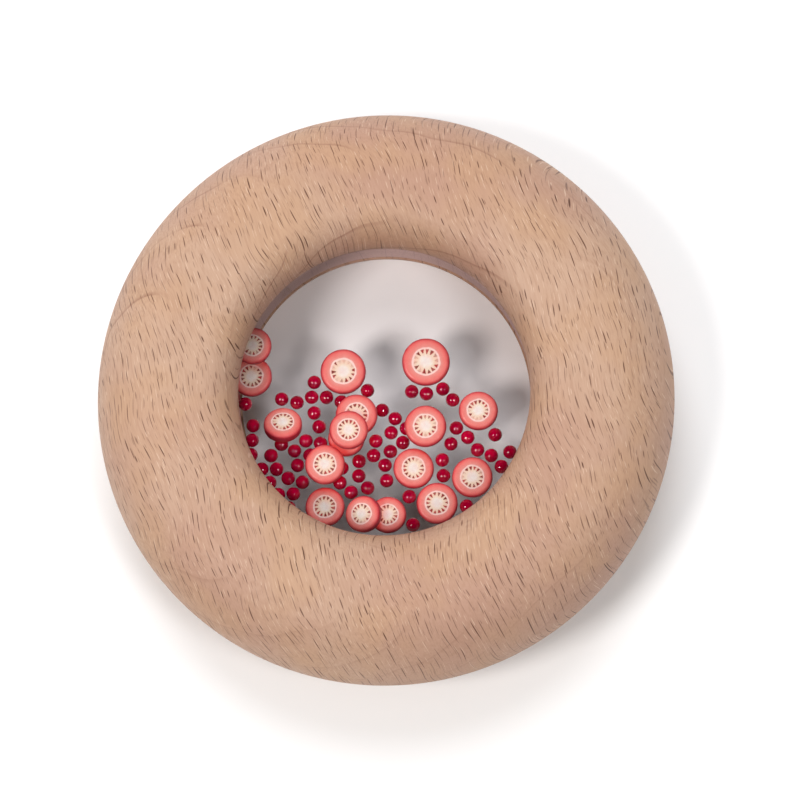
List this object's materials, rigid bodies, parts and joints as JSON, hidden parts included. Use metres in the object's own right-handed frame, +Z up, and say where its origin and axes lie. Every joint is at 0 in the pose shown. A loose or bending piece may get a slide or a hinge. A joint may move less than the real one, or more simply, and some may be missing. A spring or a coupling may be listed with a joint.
{
  "type": "baby rattle",
  "caption": "Round wooden ring rattle with a clear window chamber at its centre, in which loose fruit-slice discs and small red balls slide and rattle.",
  "frame": {"origin": "on the table under the ring's centre, at the middle of the rear rest face", "axes": "+Z up along the ring's axis and out through the front window; -Y towards the low side of the ring, where the filling gathers; +X to its right"},
  "size_m": [0.09, 0.09, 0.024],
  "materials": {
    "beech": "sanded, waxed satin",
    "clear_acrylic": "clear gloss",
    "coral_clay": "satin",
    "crimson_ball": "high gloss"
  },
  "bodies": {
    "casing": {"front_ring_half": "beech", "rear_ring_half": "beech", "front_window": "clear_acrylic", "rear_window": "clear_acrylic", "chamber_ring": "clear_acrylic"},
    "filling": {"balls_lower_wall": "crimson_ball"},
    "slice_03": {"slice_03": "coral_clay"},
    "slice_04": {"slice_04": "coral_clay"},
    "slice_05": {"slice_05": "coral_clay"},
    "slice_07": {"slice_07": "coral_clay"},
    "slice_08": {"slice_08": "coral_clay"},
    "slice_09": {"slice_09": "coral_clay"},
    "slice_15": {"slice_15": "coral_clay"},
    "balls_upper_left": {"balls_upper_left": "crimson_ball"},
    "balls_middle_left": {"balls_middle_left": "crimson_ball"},
    "balls_lower_left": {"balls_lower_left": "crimson_ball"},
    "balls_left_wall": {"balls_left_wall": "crimson_ball"},
    "balls_centre": {"balls_centre": "crimson_ball"},
    "balls_upper_right": {"balls_upper_right": "crimson_ball"},
    "balls_right": {"balls_right": "crimson_ball"},
    "balls_right_wall": {"balls_right_wall": "crimson_ball"},
    "balls_foot": {"balls_foot": "crimson_ball"},
    "stack_01_base": {"slice_02": "coral_clay", "balls_under_slice_01": "crimson_ball"},
    "slice_01": {"slice_01": "coral_clay"},
    "stack_06_base": {"balls_under_slice_06": "crimson_ball"},
    "slice_06": {"slice_06": "coral_clay"},
    "stack_10_base": {"slice_11": "coral_clay", "balls_under_slice_12": "crimson_ball"},
    "slice_12": {"slice_12": "coral_clay"},
    "slice_10": {"slice_10": "coral_clay"},
    "stack_13_base": {"balls_under_slice_13": "crimson_ball"},
    "slice_13": {"slice_13": "coral_clay"},
    "stack_14_base": {"balls_under_slice_14": "crimson_ball"},
    "slice_14": {"slice_14": "coral_clay"},
    "stack_16_base": {"slice_17": "coral_clay"},
    "slice_16": {"slice_16": "coral_clay"}
  },
  "joints": [
    {"name": "filling_turn", "type": "hinge", "parent": "casing", "child": "filling", "pos_m": [0, 0, 0.012], "axis": [0, 0, 1], "continuous": true},
    {"name": "slice_03_drop", "type": "slide", "parent": "filling", "child": "slice_03", "axis": [0, 0, 1], "range_m": [0, 0.0051]},
    {"name": "slice_04_drop", "type": "slide", "parent": "filling", "child": "slice_04", "axis": [0, 0, 1], "range_m": [0, 0.0051]},
    {"name": "slice_05_drop", "type": "slide", "parent": "filling", "child": "slice_05", "axis": [0, 0, 1], "range_m": [0, 0.0051]},
    {"name": "slice_07_drop", "type": "slide", "parent": "filling", "child": "slice_07", "axis": [0, 0, 1], "range_m": [0, 0.0051]},
    {"name": "slice_08_drop", "type": "slide", "parent": "filling", "child": "slice_08", "axis": [0, 0, 1], "range_m": [0, 0.0051]},
    {"name": "slice_09_drop", "type": "slide", "parent": "filling", "child": "slice_09", "axis": [0, 0, 1], "range_m": [0, 0.0051]},
    {"name": "slice_15_drop", "type": "slide", "parent": "filling", "child": "slice_15", "axis": [0, 0, 1], "range_m": [0, 0.0051]},
    {"name": "balls_upper_left_drop", "type": "slide", "parent": "filling", "child": "balls_upper_left", "axis": [0, 0, 1], "range_m": [0, 0.0049]},
    {"name": "balls_middle_left_drop", "type": "slide", "parent": "filling", "child": "balls_middle_left", "axis": [0, 0, 1], "range_m": [0, 0.0049]},
    {"name": "balls_lower_left_drop", "type": "slide", "parent": "filling", "child": "balls_lower_left", "axis": [0, 0, 1], "range_m": [0, 0.0049]},
    {"name": "balls_left_wall_drop", "type": "slide", "parent": "filling", "child": "balls_left_wall", "axis": [0, 0, 1], "range_m": [0, 0.0049]},
    {"name": "balls_centre_drop", "type": "slide", "parent": "filling", "child": "balls_centre", "axis": [0, 0, 1], "range_m": [0, 0.0049]},
    {"name": "balls_upper_right_drop", "type": "slide", "parent": "filling", "child": "balls_upper_right", "axis": [0, 0, 1], "range_m": [0, 0.0049]},
    {"name": "balls_right_drop", "type": "slide", "parent": "filling", "child": "balls_right", "axis": [0, 0, 1], "range_m": [0, 0.0049]},
    {"name": "balls_right_wall_drop", "type": "slide", "parent": "filling", "child": "balls_right_wall", "axis": [0, 0, 1], "range_m": [0, 0.0049]},
    {"name": "balls_foot_drop", "type": "slide", "parent": "filling", "child": "balls_foot", "axis": [0, 0, 1], "range_m": [0, 0.0049]},
    {"name": "stack_01_base_drop", "type": "slide", "parent": "filling", "child": "stack_01_base", "axis": [0, 0, 1], "range_m": [0, 0.0014]},
    {"name": "slice_01_drop", "type": "slide", "parent": "stack_01_base", "child": "slice_01", "axis": [0, 0, 1], "range_m": [0, 0.0014]},
    {"name": "stack_06_base_drop", "type": "slide", "parent": "filling", "child": "stack_06_base", "axis": [0, 0, 1], "range_m": [0, 0.0014]},
    {"name": "slice_06_drop", "type": "slide", "parent": "stack_06_base", "child": "slice_06", "axis": [0, 0, 1], "range_m": [0, 0.0014]},
    {"name": "stack_10_base_drop", "type": "slide", "parent": "filling", "child": "stack_10_base", "axis": [0, 0, 1], "range_m": [0, 0.0002]},
    {"name": "slice_12_drop", "type": "slide", "parent": "stack_10_base", "child": "slice_12", "axis": [0, 0, 1], "range_m": [0, 0.0002]},
    {"name": "slice_10_drop", "type": "slide", "parent": "slice_12", "child": "slice_10", "axis": [0, 0, 1], "range_m": [0, 0.0002]},
    {"name": "stack_13_base_drop", "type": "slide", "parent": "filling", "child": "stack_13_base", "axis": [0, 0, 1], "range_m": [0, 0.0014]},
    {"name": "slice_13_drop", "type": "slide", "parent": "stack_13_base", "child": "slice_13", "axis": [0, 0, 1], "range_m": [0, 0.0014]},
    {"name": "stack_14_base_drop", "type": "slide", "parent": "filling", "child": "stack_14_base", "axis": [0, 0, 1], "range_m": [0, 0.0014]},
    {"name": "slice_14_drop", "type": "slide", "parent": "stack_14_base", "child": "slice_14", "axis": [0, 0, 1], "range_m": [0, 0.0014]},
    {"name": "stack_16_base_drop", "type": "slide", "parent": "filling", "child": "stack_16_base", "axis": [0, 0, 1], "range_m": [0, 0.0013]},
    {"name": "slice_16_drop", "type": "slide", "parent": "stack_16_base", "child": "slice_16", "axis": [0, 0, 1], "range_m": [0, 0.0013]}
  ]
}
